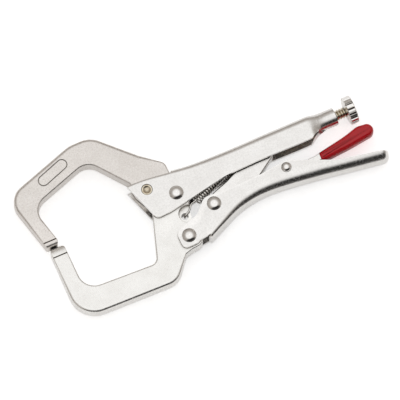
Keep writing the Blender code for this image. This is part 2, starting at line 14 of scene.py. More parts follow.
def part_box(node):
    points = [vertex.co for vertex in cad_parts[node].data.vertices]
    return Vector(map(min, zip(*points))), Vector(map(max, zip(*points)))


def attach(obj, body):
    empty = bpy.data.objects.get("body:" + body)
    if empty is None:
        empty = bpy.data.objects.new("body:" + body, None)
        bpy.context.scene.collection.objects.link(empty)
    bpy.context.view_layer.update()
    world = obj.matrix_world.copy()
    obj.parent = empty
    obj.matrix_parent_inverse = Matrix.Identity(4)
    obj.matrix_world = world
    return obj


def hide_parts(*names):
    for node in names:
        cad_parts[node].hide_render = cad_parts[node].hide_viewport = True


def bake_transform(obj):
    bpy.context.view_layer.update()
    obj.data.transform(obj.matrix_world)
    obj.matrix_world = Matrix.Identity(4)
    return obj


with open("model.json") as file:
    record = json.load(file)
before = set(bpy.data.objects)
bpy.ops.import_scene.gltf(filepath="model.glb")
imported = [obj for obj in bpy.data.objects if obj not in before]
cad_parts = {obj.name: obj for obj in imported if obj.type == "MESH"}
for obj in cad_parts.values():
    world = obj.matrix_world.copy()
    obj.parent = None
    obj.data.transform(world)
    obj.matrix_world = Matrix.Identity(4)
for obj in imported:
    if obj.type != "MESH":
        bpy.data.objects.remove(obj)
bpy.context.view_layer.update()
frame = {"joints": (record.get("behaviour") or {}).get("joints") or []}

MM = 0.001

# ---- sizes taken from the frame, in millimetres --------------------------------------------
JOINTS = {joint["name"]: joint for joint in frame["joints"]}


def pivot(joint):
    return Vector(JOINTS[joint]["pos_m"]) / MM


def node_box(node):
    low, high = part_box(node)
    return low / MM, high / MM


def node_centre(node):
    low, high = node_box(node)
    return (low + high) / 2


def half_height(node):
    low, high = node_box(node)
    return (high.z - low.z) / 2


JAW_PIVOT = pivot("jaw_pivot")
HANDLE_PIVOT = pivot("handle_pivot")
LINK_PIVOT = pivot("link_pivot")
LEVER_PIVOT = pivot("lever_pivot")
JAW_PIN = node_centre("upper_jaw_pin")
MID_Z = JAW_PIVOT.z
FACE_Z = half_height("upper_handle")
JAW_Z = half_height("lower_jaw")
HEAD_Z = half_height("jaw_pivot_rivet")
HEAD_RADIUS = (node_box("jaw_pivot_rivet")[1].x - node_box("jaw_pivot_rivet")[0].x) / 2
SMALL_HEAD_RADIUS = (node_box("lever_pivot_rivet")[1].x - node_box("lever_pivot_rivet")[0].x) / 2
PIN_RADIUS = (node_box("upper_jaw_pin")[1].x - node_box("upper_jaw_pin")[0].x) / 2
SCREW_Y = node_centre("adjusting_screw").y
SCREW_RADIUS = half_height("adjusting_screw")
SCREW_START_X = node_box("adjusting_screw")[0].x
SCREW_END_X = node_box("adjusting_screw")[1].x
KNOB_START_X = node_box("adjusting_knob")[0].x
KNOB_END_X = node_box("adjusting_knob")[1].x
KNOB_RADIUS = half_height("adjusting_knob")
SOCKET_END_X = node_box("upper_handle")[1].x
TAIL_X = node_box("lower_handle")[1].x
LINK_Z = half_height("toggle_link")
LEVER_Z = half_height("release_lever")
SLEEVE_Z = half_height("release_lever_sleeve")

# ---- sizes of the fine shapes, in millimetres ----------------------------------------------
SHEET = 1.6
FOLD_RADIUS = 2.2
SHEET_EDGE = 0.28              # rounding along the cut edges of the sheet
GAP = 0.3
SHANK_RADIUS = 2.0
SMALL_SHANK_RADIUS = 1.4
SOCKET_RADIUS = 4.15
SOCKET_START_X = 75.5
NECK_START_X = 65.0
ROLL_START_X = 66.5            # the walls stay flat up to here
SEAM_HALF_ANGLE = 8.0          # half of the open seam under the socket, in degrees
NOSE_POWER = 0.68              # under 1 the jaws' noses are blunter than an ellipse
DOME_POWER = 3.0               # how flat the rivets' domes are in the middle
THREAD_PITCH = 1.25
THREAD_DEPTH = 0.62
KNOB_RIBS = 16
KNOB_GROOVE_DEPTH = 0.85
SLEEVE_RISE = 1.5              # how much higher than wide the sleeve's rounding is
SPRING_TURNS = 18
SPRING_RADIUS = 2.1
SPRING_WIRE_RADIUS = 0.4
SPRING_HOLE = (-0.5, -10.6)
SPRING_HOLE_RADIUS = 1.65
SPRING_RECESS = (1.2, -10.6)
SPRING_RECESS_RADIUS = 4.5
SPRING_RECESS_DEPTH = 2.4
SPRING_START = (7.2, -5.7)
SPRING_END = (28.6, 3.8)
SPRING_TAB = (31.0, 4.9)
BADGE_ENDS = ((-51.7, 29.8), (-41.3, 33.4))
BADGE_RADIUS = 2.6
BADGE_GROOVE = 0.5
BADGE_DEPTH = 0.5
JAW_TIPS_X = (-70.0, -50.0)    # how far the cutters reach across both jaws' tips
MERGE_DISTANCE = 0.0005
FOOT_RIM = 0.16                # upright rim below a rivet's dome
ROW_SPACING = 2.65             # between the upper handle's sections behind its front
NECK_ROWS = 24
FLOOR_HALF_WIDTH = 3000.0
FIELD_WIDTH = 178.6            # what the camera takes in at the height of the handles' faces
CAMERA_AZIMUTH = -24.0         # degrees, as is the elevation above the table
CAMERA_ELEVATION = 73.0
CAMERA_DISTANCE = 3.5          # metres
CAMERA_TARGET = (8.26, -7.46, 13.5)


# ---- outlines and meshes -------------------------------------------------------------------
def rounded(corners, arc_step=6.0, closed=True):
    """Points of an outline whose (x, y, radius) corners are arcs; a fourth value rides along."""
    points = []
    extras = []
    count = len(corners)
    for index, corner in enumerate(corners):
        here = Vector(corner[:2])
        extra = corner[3] if len(corner) > 3 else 0.0
        inside = closed or 0 < index < count - 1
        if not inside or corner[2] <= 0.0:
            points.append(here)
            extras.append(extra)
            continue
        before = Vector(corners[index - 1][:2])
        after = Vector(corners[(index + 1) % count][:2])
        back = (before - here).normalized()
        ahead = (after - here).normalized()
        half = back.angle(ahead) / 2
        reach = min(corner[2] / math.tan(half), 0.499 * (before - here).length,
                    0.499 * (after - here).length)
        radius = reach * math.tan(half)
        centre = here + (back + ahead).normalized() * (radius / math.sin(half))
        start = here + back * reach - centre
        sweep = math.pi - 2 * half
        steps = max(1, math.ceil(math.degrees(sweep) / arc_step))
        if back.cross(ahead) > 0.0:
            sweep = -sweep
        for step in range(steps + 1):
            turn = Matrix.Rotation(sweep * step / steps, 2)
            points.append(centre + turn @ start)
            extras.append(extra)
    return points, extras


def inset(points, distances):
    """Closed outline moved inwards, each point by its own distance."""
    area = sum(p.cross(points[(i + 1) % len(points)]) for i, p in enumerate(points))
    turn = 1.0 if area > 0.0 else -1.0
    moved = []
    for index, point in enumerate(points):
        back = (point - points[index - 1]).normalized()
        ahead = (points[(index + 1) % len(points)] - point).normalized()
        normal = Vector((-back.y - ahead.y, back.x + ahead.x)).normalized() * turn
        lean = max(0.6, abs(normal.dot(Vector((-back.y, back.x)))))
        moved.append(point + normal * (distances[index] / lean))
    return moved


def mesh_from(build, name):
    work = bmesh.new()
    build(work)
    bmesh.ops.remove_doubles(work, verts=work.verts, dist=MERGE_DISTANCE)
    bmesh.ops.recalc_face_normals(work, faces=work.faces)
    mesh = bpy.data.meshes.new(name)
    work.to_mesh(mesh)
    work.free()
    return mesh


def loft(work, rings):
    """Skin closed rings of equal length and cap both ends."""
    loops = [[work.verts.new(point) for point in ring] for ring in rings]
    for first, second in zip(loops, loops[1:]):
        for index in range(len(first)):
            after = (index + 1) % len(first)
            work.faces.new((first[index], first[after], second[after], second[index]))
    work.faces.new(loops[0])
    work.faces.new(loops[-1])


def plate_mesh(name, corners, half, edge=0.0, steps=5, mid_z=MID_Z, rise=1.0):
    """Plate about mid_z with filleted rims; a corner's fourth value adds to its fillet's radius.

    The fillets are rise times as high as they are wide.
    """
    points, extras = rounded(corners)
    radii = [edge + extra for extra in extras]
    levels = [math.radians(90.0) * step / steps for step in range(steps + 1)] if edge else [0.0]

    def ring(angle, side):
        moved = inset(points, [radius * (1 - math.cos(angle)) for radius in radii])
        return [(p.x, p.y, mid_z + side * (half - rise * radius * (1 - math.sin(angle))))
                for p, radius in zip(moved, radii)]

    def build(work):
        if edge:
            upper = [ring(angle, 1.0) for angle in reversed(levels)]
            lower = [ring(angle, -1.0) for angle in levels]
        else:
            upper = [[(p.x, p.y, mid_z + half) for p in points]]
            lower = [[(p.x, p.y, mid_z - half) for p in points]]
        loft(work, upper + lower)
    return mesh_from(build, name)


def turned_mesh(name, profile, steps=48):
    """Solid turned about Z from (radius, height) points that start and end on the axis."""
    def build(work):
        verts = [work.verts.new((radius, 0.0, height)) for radius, height in profile]
        edges = [work.edges.new(pair) for pair in zip(verts, verts[1:])]
        bmesh.ops.spin(work, geom=verts + edges, cent=(0, 0, 0), axis=(0, 0, 1),
                       angle=math.tau, steps=steps, use_merge=True)
    return mesh_from(build, name)


def tube(work, points, radius, sides=12):
    """Round wire along points."""
    rings = []
    normal = Vector((1.0, 0.0, 0.0))
    for index, point in enumerate(points):
        tangent = (points[min(len(points) - 1, index + 1)] - points[max(0, index - 1)]).normalized()
        normal = (normal - tangent * normal.dot(tangent)).normalized()
        across = tangent.cross(normal)
        rings.append([point + (normal * math.cos(math.tau * i / sides)
                               + across * math.sin(math.tau * i / sides)) * radius
                      for i in range(sides)])
    loft(work, rings)


def smooth_value(points, x):
    """Value at x of a smooth curve through (x, value) points."""
    index = 0
    while index < len(points) - 2 and x > points[index + 1][0]:
        index += 1
    x0, y0 = points[index]
    x1, y1 = points[index + 1]
    span = x1 - x0
    t = min(1.0, max(0.0, (x - x0) / span))
    slope0 = slope_at(points, index) * span
    slope1 = slope_at(points, index + 1) * span
    return ((2 * t**3 - 3 * t**2 + 1) * y0 + (t**3 - 2 * t**2 + t) * slope0
            + (-2 * t**3 + 3 * t**2) * y1 + (t**3 - t**2) * slope1)


def slope_at(points, index):
    before = points[max(0, index - 1)]
    after = points[min(len(points) - 1, index + 1)]
    return (after[1] - before[1]) / (after[0] - before[0])


def line_value(points, x):
    """Value at x of the straight-sided line through points whose x rises."""
    if x <= points[0][0]:
        return points[0][1]
    for (x0, y0), (x1, y1) in zip(points, points[1:]):
        if x <= x1:
            return y0 + (y1 - y0) * (x - x0) / max(1e-6, x1 - x0)
    return points[-1][1]


def ease(share):
    share = min(1.0, max(0.0, share))
    return share * share * (3 - 2 * share)


# ---- placing pieces ------------------------------------------------------------------------
def cutter(name, mesh):
    tool = bpy.data.objects.new(name, mesh)
    bpy.context.scene.collection.objects.link(tool)
    mesh.transform(Matrix.Scale(MM, 4))
    return tool


def cut(body, tools, operation="DIFFERENCE"):
    """Apply cutters to a body and remove them."""
    for tool in tools:
        modifier = body.modifiers.new(tool.name, "BOOLEAN")
        modifier.operation = operation
        modifier.solver = "EXACT"
        modifier.object = tool
    bake(body)
    for tool in tools:
        bpy.data.objects.remove(tool, do_unlink=True)


def bake(body):
    """Replace a body's mesh by what its modifiers make of it."""
    evaluated = body.evaluated_get(bpy.context.evaluated_depsgraph_get())
    mesh = bpy.data.meshes.new_from_object(evaluated)
    body.modifiers.clear()
    body.data = mesh


def hole_tool(name, centre, radius, low=-2.0, high=20.0, steps=64):
    circle = [(centre[0] + radius * math.cos(math.tau * i / steps),
               centre[1] + radius * math.sin(math.tau * i / steps), 0.0) for i in range(steps)]
    return cutter(name, plate_mesh(name, circle, (high - low) / 2, mid_z=(high + low) / 2))


def body_from(name, mesh):
    """Piece in the scene, scaled to metres; its rider and material come with finish_piece."""
    body = bpy.data.objects.new(name, mesh)
    bpy.context.scene.collection.objects.link(body)
    mesh.transform(Matrix.Scale(MM, 4))
    return body


def soften(body, width, segments=3, angle=40.0):
    """Round the edges that are sharper than angle."""
    modifier = body.modifiers.new("edge", "BEVEL")
    modifier.width = width * MM
    modifier.segments = segments
    modifier.limit_method = "ANGLE"
    modifier.angle_limit = math.radians(angle)
    modifier.use_clamp_overlap = True
    bake(body)


def finish_piece(body, material, rider, slot, *nodes, sharp=35.0):
    body.data.materials.clear()
    body.data.materials.append(material)
    body.data.shade_smooth()
    body.data.set_sharp_from_angle(angle=math.radians(sharp))
    weighted = body.modifiers.new("normals", "WEIGHTED_NORMAL")
    weighted.keep_sharp = True
    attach(body, rider)
    if nodes:
        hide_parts(*nodes)
    return body


# ---- materials -----------------------------------------------------------------------------
def shader_of(name, roughness, metallic):
    material = bpy.data.materials.new(name)
    material.use_nodes = True
    shader = material.node_tree.nodes["Principled BSDF"]
    shader.inputs["Roughness"].default_value = roughness
    shader.inputs["Metallic"].default_value = metallic
    return material, material.node_tree, shader


def noise(tree, scale, detail=3.0, roughness=0.55):
    coordinates = tree.nodes.new("ShaderNodeTexCoord")
    texture = tree.nodes.new("ShaderNodeTexNoise")
    texture.inputs["Scale"].default_value = scale
    texture.inputs["Detail"].default_value = detail
    texture.inputs["Roughness"].default_value = roughness
    tree.links.new(coordinates.outputs["Object"], texture.inputs["Vector"])
    return texture.outputs["Fac"]


def ramp(tree, value, stops):
    """Colour ramp over value; stops are (place, colour)."""
    node = tree.nodes.new("ShaderNodeValToRGB")
    node.color_ramp.elements[0].position = stops[0][0]
    node.color_ramp.elements[0].color = (*stops[0][1], 1.0)
    node.color_ramp.elements[1].position = stops[-1][0]
    node.color_ramp.elements[1].color = (*stops[-1][1], 1.0)
    for place, colour in stops[1:-1]:
        element = node.color_ramp.elements.new(place)
        element.color = (*colour, 1.0)
    tree.links.new(value, node.inputs["Fac"])
    return node.outputs["Color"]


def spread(tree, value, low, high, from_low=0.3, from_high=0.7):
    node = tree.nodes.new("ShaderNodeMapRange")
    node.inputs["From Min"].default_value = from_low
    node.inputs["From Max"].default_value = from_high
    node.inputs["To Min"].default_value = low
    node.inputs["To Max"].default_value = high
    tree.links.new(value, node.inputs["Value"])
    return node.outputs["Result"]


def bump(tree, shader, layers):
    """Chain bumps of (height value, distance in metres, strength)."""
    previous = None
    for value, distance, strength in layers:
        node = tree.nodes.new("ShaderNodeBump")
        node.inputs["Distance"].default_value = distance
        node.inputs["Strength"].default_value = strength
        tree.links.new(value, node.inputs["Height"])
        if previous is not None:
            tree.links.new(previous, node.inputs["Normal"])
        previous = node.outputs["Normal"]
    tree.links.new(previous, shader.inputs["Normal"])


def mixed(tree, blend, factor, first, second):
    node = tree.nodes.new("ShaderNodeMix")
    node.data_type = "RGBA"
    node.blend_type = blend
    node.inputs["Factor"].default_value = factor
    tree.links.new(first, node.inputs["A"])
    tree.links.new(second, node.inputs["B"])
    return node.outputs["Result"]


def painted_crevice_shade(tree, reach, floor_tone, stops=(0.08, 0.3, 0.56)):
    """Painted shade: colour darkened by ambient occlusion where the surface is closed in, as inside a
    channel or beside a wall.
    """
    shade = tree.nodes.new("ShaderNodeAmbientOcclusion")
    shade.samples = 8
    shade.inputs["Distance"].default_value = reach * MM
    deep = tuple(floor_tone * tint for tint in (1.0, 0.9, 0.8))
    middle = tuple(0.62 * tint for tint in (1.0, 0.97, 0.94))
    tones = (deep, middle, (1.0, 1.0, 1.0))
    return ramp(tree, shade.outputs["AO"], list(zip(stops, tones)))


def plated_metal(name, dark, light, roughness, grain, grain_depth, wave_depth):
    """Nickel-plated steel: mottled grain over slow waves, brighter where edges are rubbed, with painted
    shade where the surface is closed in.
    """
    material, tree, shader = shader_of(name, roughness, 1.0)
    fine = noise(tree, grain, 4.0, 0.6)
    slow = noise(tree, grain / 9.0, 2.0)
    base = ramp(tree, fine, [(0.32, dark), (0.68, light)])
    tone = ramp(tree, slow, [(0.3, (0.93, 0.925, 0.92)), (0.7, (1.0, 1.0, 1.0))])
    colour = mixed(tree, "MULTIPLY", 1.0, base, tone)
    geometry = tree.nodes.new("ShaderNodeNewGeometry")
    rubbed = ramp(tree, geometry.outputs["Pointiness"],
                  [(0.47, (0.78, 0.77, 0.75)), (0.5, (1.0, 1.0, 1.0)), (0.56, (1.1, 1.1, 1.1))])
    colour = mixed(tree, "MULTIPLY", 0.8, colour, rubbed)
    # Painted shade: the colour is darkened by ambient occlusion inside channels, beside walls and in narrow
    # gaps.
    colour = mixed(tree, "MULTIPLY", 1.0, colour, painted_crevice_shade(tree, 5.0, 0.1))
    colour = mixed(tree, "MULTIPLY", 1.0, colour, painted_crevice_shade(tree, 1.4, 0.16, (0.26, 0.54, 0.76)))
    tree.links.new(colour, shader.inputs["Base Color"])
    tree.links.new(spread(tree, fine, roughness - 0.05, roughness + 0.07),
                   shader.inputs["Roughness"])
    bump(tree, shader, [(fine, grain_depth * MM, 1.0), (slow, wave_depth * MM, 1.0)])
    return material


def oiled_steel(name):
    """Bare steel with a brown film of oil, and painted shade in its grooves."""
    material, tree, shader = shader_of(name, 0.28, 1.0)
    fine = noise(tree, 1800.0, 4.0)
    slow = noise(tree, 350.0, 2.0)
    film_and_shade = ramp(tree, slow, [(0.3, (0.56, 0.48, 0.36)), (0.55, (0.74, 0.67, 0.54)),
                             (0.75, (0.84, 0.79, 0.68))])
    # Painted shade: darker in grooves and hollows, by ambient occlusion, over the oil film's own colour.
    film_and_shade = mixed(tree, "MULTIPLY", 1.0, film_and_shade, painted_crevice_shade(tree, 0.8, 0.1, (0.2, 0.5, 0.8)))
    tree.links.new(film_and_shade, shader.inputs["Base Color"])
    tree.links.new(spread(tree, fine, 0.14, 0.28), shader.inputs["Roughness"])
    bump(tree, shader, [(fine, 0.008 * MM, 1.0)])
    return material


def spring_wire(name):
    material, tree, shader = shader_of(name, 0.3, 1.0)
    fine = noise(tree, 2500.0, 3.0)
    colour = ramp(tree, fine, [(0.3, (0.82, 0.79, 0.75)), (0.7, (0.97, 0.95, 0.92))])
    tree.links.new(colour, shader.inputs["Base Color"])
    tree.links.new(spread(tree, fine, 0.16, 0.26), shader.inputs["Roughness"])
    bump(tree, shader, [(fine, 0.004 * MM, 1.0)])
    return material


def dipped_vinyl(name):
    """Glossy red dip with faint sags and specks."""
    material, tree, shader = shader_of(name, 0.24, 0.0)
    fine = noise(tree, 2200.0, 3.0)
    slow = noise(tree, 160.0, 2.0)
    base = ramp(tree, slow, [(0.3, (0.54, 0.005, 0.011)), (0.7, (0.62, 0.007, 0.015))])
    tone = ramp(tree, fine, [(0.3, (0.94, 0.94, 0.94)), (0.7, (1.0, 1.0, 1.0))])
    tree.links.new(mixed(tree, "MULTIPLY", 1.0, base, tone), shader.inputs["Base Color"])
    tree.links.new(spread(tree, fine, 0.12, 0.2), shader.inputs["Roughness"])
    shader.inputs["Specular IOR Level"].default_value = 0.4
    bump(tree, shader, [(fine, 0.002 * MM, 1.0), (slow, 0.06 * MM, 0.5)])
    return material


FORGED = plated_metal("forged_nickel", (0.64, 0.60, 0.565), (0.82, 0.785, 0.75), 0.3, 1300.0,
                      0.016, 0.03)
# Painted light: a brighter copy of the forged nickel, the same finish as the upper jaw's but coloured as if
# more brightly lit.
FORGED_PAINTED_BRIGHTER = plated_metal("forged_nickel_painted_brighter", (0.79, 0.775, 0.75), (0.93, 0.92, 0.895), 0.26,
                            1300.0, 0.014, 0.03)
PRESSED = plated_metal("pressed_nickel", (0.77, 0.755, 0.735), (0.90, 0.885, 0.865), 0.22, 1100.0,
                       0.007, 0.02)
BRIGHT = plated_metal("bright_nickel", (0.80, 0.78, 0.755), (0.92, 0.905, 0.885), 0.1, 1300.0,
                      0.003, 0.01)
OILED = oiled_steel("oiled_steel")
SPRING_WIRE = spring_wire("spring_wire")
VINYL = dipped_vinyl("red_dipped_vinyl")


# ---- rivets and pin ------------------------------------------------------------------------
def rivet(name, centre, head_radius, shank_radius, rider, node):
    """Domed rivet: each head is a flattened dome above a short upright rim."""
    base = FACE_Z + 0.03
    height = HEAD_Z - base - FOOT_RIM
    steps = 18
    top = [(head_radius * step / steps, HEAD_Z - height * (step / steps) ** DOME_POWER)
           for step in range(steps + 1)]
    top += [(head_radius, base + 0.06), (head_radius - 0.06, base)]
    bottom = [(radius, -level) for radius, level in reversed(top)]
    mesh = turned_mesh(name, top + [(shank_radius, base), (shank_radius, -base)] + bottom)
    mesh.transform(Matrix.Translation((centre.x, centre.y, MID_Z)))
    return finish_piece(body_from(name, mesh), BRIGHT, rider, "bright_nickel", node)


def jaw_pin():
    """Pin with a rounded dimple in each end."""
    end = half_height("upper_jaw_pin")
    dimple = 1.75
    depth = 0.75
    top = [(dimple * math.sin(math.radians(a)), end - depth * math.cos(math.radians(a)) ** 1.5)
           for a in range(0, 90, 9)]
    top += [(dimple + 0.12, end), (PIN_RADIUS - 0.25, end), (PIN_RADIUS - 0.07, end - 0.07),
            (PIN_RADIUS, end - 0.25)]
    bottom = [(radius, -level) for radius, level in reversed(top)]
    mesh = turned_mesh("jaw_pin", top + bottom)
    mesh.transform(Matrix.Translation((JAW_PIN.x, JAW_PIN.y, MID_Z)))
    finish_piece(body_from("jaw_pin", mesh), OILED, "upper_handle", "dark_steel", "upper_jaw_pin")


# ---- jaws ----------------------------------------------------------------------------------
def nose_tool(name, flat_y, tip_y):
    """Cutter that rounds a jaw tip over its thickness, from flat_y on the face to tip_y."""
    side = 1.0 if flat_y > tip_y else -1.0
    reach = abs(flat_y - tip_y)
    wide = JAW_Z + 1.0
    beyond = tip_y - side * 2.0
    section = [(flat_y, wide), (beyond, wide), (beyond, -wide), (flat_y, -wide)]
    for step in range(33):
        angle = math.radians(-90.0 + 180.0 * step / 32)
        share = abs(math.sin(angle)) ** NOSE_POWER * math.copysign(1.0, angle)
        section.append((flat_y - side * reach * math.cos(angle) ** NOSE_POWER, JAW_Z * share))

    def build(work):
        loft(work, [[(x, y, MID_Z + z) for y, z in section] for x in JAW_TIPS_X])
    return cutter(name, mesh_from(build, name))


def nose_groove(name, y, side):
    """V-shaped groove across a jaw's face, where the rounded nose begins."""
    face = MID_Z + side * JAW_Z
    section = [(y - 0.45, face + side * 0.1), (y, face - side * 0.5), (y + 0.3, face + side * 0.1)]

    def build(work):
        loft(work, [[(x, point_y, z) for point_y, z in section] for x in JAW_TIPS_X])
    return cutter(name, mesh_from(build, name))


def badge_tool():
    """Ring-shaped cutter for the groove around the plain oval badge."""
    first, second = (Vector(end) for end in BADGE_ENDS)
    along = (second - first).normalized()
    start = math.atan2(along.y, along.x)
    ovals = []
    for radius in (BADGE_RADIUS - BADGE_GROOVE, BADGE_RADIUS):
        oval = []
        for centre, turn in ((second, start - math.pi / 2), (first, start + math.pi / 2)):
            for step in range(25):
                angle = turn + math.pi * step / 24
                oval.append(centre + Vector((math.cos(angle), math.sin(angle))) * radius)
        ovals.append(oval)

    def build(work):
        low, high = MID_Z + JAW_Z - BADGE_DEPTH, MID_Z + JAW_Z + 1.0
        inner, outer = ovals
        loops = [[work.verts.new((p.x, p.y, z)) for p in oval]
                 for oval, z in ((inner, low), (outer, low), (outer, high), (inner, high))]
        for ring, following in zip(loops, loops[1:] + loops[:1]):
            for index in range(len(ring)):
                after = (index + 1) % len(ring)
                work.faces.new((ring[index], ring[after], following[after], following[index]))
    return cutter("badge_groove", mesh_from(build, "badge_groove"))


def upper_jaw():
    wide, fine, tip = 1.3, 0.45, 0.0
    corners = [(-56.5, 0.0, 2.2, tip), (-61.2, 20.1, 7.5, fine), (-30.5, 30.2, 7.5, fine),
               (-17.2, 12.9, 0.0, fine), (-16.6, 7.5, 2.0, tip), (-14.0, 1.8, 2.0, tip),
               (-8.6, 2.8, 1.5, tip), (-5.6, 7.2, 2.0, tip), (1.3, 7.4, 0.5, tip),
               (1.3, 15.6, 3.5, 0.4), (-8.0, 23.6, 0.0, wide), (-24.6, 40.4, 11.0, wide),
               (-35.0, 40.4, 14.0, wide), (-70.3, 28.9, 9.0, wide), (-62.9, 0.0, 2.2, tip)]
    body = body_from("fixed_jaw", plate_mesh("fixed_jaw", corners, JAW_Z, 0.45))
    cut(body, [nose_tool("upper_nose_tool", 2.7, 0.0), badge_tool(),
               nose_groove("upper_groove_top", 2.9, 1.0), nose_groove("upper_groove_foot", 2.9, -1.0),
               hole_tool("upper_pin_hole", JAW_PIN, PIN_RADIUS + GAP)])
    finish_piece(body, FORGED, "upper_handle", "satin_nickel", "upper_jaw")


def lower_jaw():
    wide, fine, tip = 1.15, 0.4, 0.0
    corners = [(-62.3, -GAP, 2.4, tip), (-63.0, -36.2, 13.0, wide), (-39.0, -36.9, 0.0, wide),
               (-15.4, -37.5, 9.0, wide), (-7.2, -27.5, 1.5, fine), (-3.6, -26.5, 3.0, fine),
               (2.6, -26.0, 4.5, fine), (1.9, -13.6, 4.0, fine), (2.6, -8.5, 6.0, fine),
               (6.1, -1.0, 3.0, fine), (5.9, 6.0, 5.8, tip), (-4.6, 6.0, 4.8, tip),
               (-6.6, 0.6, 2.0, tip), (-12.6, -1.6, 1.5, tip), (-20.9, -25.8, 3.6, fine),
               (-55.0, -24.2, 7.6, fine), (-55.4, -GAP, 2.4, tip)]
    body = body_from("moving_jaw", plate_mesh("moving_jaw", corners, JAW_Z, 0.45))
    recess_low = MID_Z + JAW_Z - SPRING_RECESS_DEPTH
    cut(body, [nose_tool("lower_nose_tool", -GAP - 5.1, -GAP),
               nose_groove("lower_groove_top", -5.0, 1.0), nose_groove("lower_groove_foot", -5.0, -1.0),
               hole_tool("spring_recess", SPRING_RECESS, SPRING_RECESS_RADIUS, low=recess_low),
               hole_tool("spring_hole", SPRING_HOLE, SPRING_HOLE_RADIUS),
               hole_tool("jaw_bore", JAW_PIVOT, SHANK_RADIUS + GAP)])
    # The lower jaw gets the brighter copy of the forged nickel: painted light.
    finish_piece(body, FORGED_PAINTED_BRIGHTER, "lower_jaw", "satin_nickel", "lower_jaw")


# ---- folded handles ------------------------------------------------------------------------
def thick_sheet(name, outer, thickness, present):
    """Closed sheet below a grid of points on its outer face; present(i, j) says which cells exist.

    The rows run along the handle and the points of a row run round its section.
    """
    rows, columns = len(outer), len(outer[0])

    def inner_point(i, j):
        along = outer[min(rows - 1, i + 1)][j] - outer[max(0, i - 1)][j]
        across = outer[i][min(columns - 1, j + 1)] - outer[i][max(0, j - 1)]
        normal = along.cross(across).normalized()
        return outer[i][j] + normal * thickness

    def build(work):
        skins = ({}, {})

        def vertex(layer, i, j):
            if (i, j) not in skins[layer]:
                place = outer[i][j] if layer == 0 else inner_point(i, j)
                skins[layer][(i, j)] = work.verts.new(place)
            return skins[layer][(i, j)]

        cells = {(i, j) for i in range(rows - 1) for j in range(columns - 1) if present(i, j)}
        for i, j in cells:
            ring = [(i, j), (i + 1, j), (i + 1, j + 1), (i, j + 1)]
            work.faces.new([vertex(0, *corner) for corner in ring])
            work.faces.new([vertex(1, *corner) for corner in reversed(ring)])
            beside = [(i, j - 1), (i + 1, j), (i, j + 1), (i - 1, j)]
            for index, neighbour in enumerate(beside):
                if neighbour in cells:
                    continue
                first, second = ring[index], ring[(index + 1) % 4]
                work.faces.new((vertex(0, *second), vertex(0, *first),
                                vertex(1, *first), vertex(1, *second)))
    return mesh_from(build, name)


def channel_half(lip, spine, half, fold, reach=0.0, wall_steps=6, fold_steps=12, flat_steps=3):
    """(y, z) points of half a channel's section, from its lip to the middle of its spine.

    The fold is a quarter ellipse: fold high and reach wide, and as wide as high without a reach.
    """
    side = 1.0 if spine > lip else -1.0
    reach = reach or fold
    turn_y = spine - side * reach
    begin = max(side * turn_y, side * lip + 0.15 * abs(spine - lip)) * side

    def turned(y):
        return math.asin(min(1.0, max(0.0, side * (y - turn_y) / reach)))

    points = []
    for step in range(wall_steps):
        y = lip + (begin - lip) * step / wall_steps
        points.append((y, half - fold * (1 - math.cos(turned(y)))))
    first = turned(begin)
    for step in range(fold_steps + 1):
        angle = first + (math.radians(90.0) - first) * step / fold_steps
        points.append((turn_y + side * reach * math.sin(angle), half - fold * (1 - math.cos(angle))))
    for step in range(1, flat_steps + 1):
        points.append((spine, (half - fold) * (1 - step / flat_steps)))
    return points


def both_halves(half):
    """Whole section from a half that ends on the middle plane."""
    return half + [(y, -z) for y, z in reversed(half[:-1])]


UPPER_SPINE = [(-22.0, 12.6), (-12.0, 12.6), (0.8, 11.1), (12.0, 9.9), (30.0, 9.5), (45.0, 9.7),
               (60.0, 9.75), (70.0, 9.8)]
UPPER_FOLD = [(-22.0, 2.0), (0.8, 2.4), (20.0, 2.8), (45.0, 3.2), (70.0, 3.4)]
FRONT_TOP = (-19.8, 13.6)
FRONT_FOOT = (-12.7, -7.3)
FRONT_END_X = 12.0             # the sections stand upright from here on
JAW_SLOT_END_X = 1.8


def upper_lip():
    """Lower edge of the side walls, from the foot of the front edge to the neck."""
    corners = [(*FRONT_TOP, 0.0), (*FRONT_FOOT, 2.6), (-5.5, -7.0, 6.0), (24.0, -1.5, 40.0),
               (40.0, -1.0, 0.0), (60.0, -1.3, 0.0), (66.0, -1.2, 2.0), (70.5, 0.9, 3.0),
               (76.0, 1.25, 0.0)]
    points, _ = rounded(corners, closed=False)
    return [(point.x, point.y) for point in points[1:]]


def socket_half(count_points):
    """Half of the rolled socket's section, sampled like the channel's half that it follows."""
    lengths = [0.0]
    for (y0, z0), (y1, z1) in zip(count_points, count_points[1:]):
        lengths.append(lengths[-1] + math.hypot(y1 - y0, z1 - z0))
    half = []
    for length in lengths:
        share = length / lengths[-1]
        angle = math.radians(-90.0 + SEAM_HALF_ANGLE + (180.0 - SEAM_HALF_ANGLE) * share)
        half.append((SCREW_Y + SOCKET_RADIUS * math.sin(angle), SOCKET_RADIUS * math.cos(angle)))
    half[-1] = (half[-1][0], 0.0)
    return half


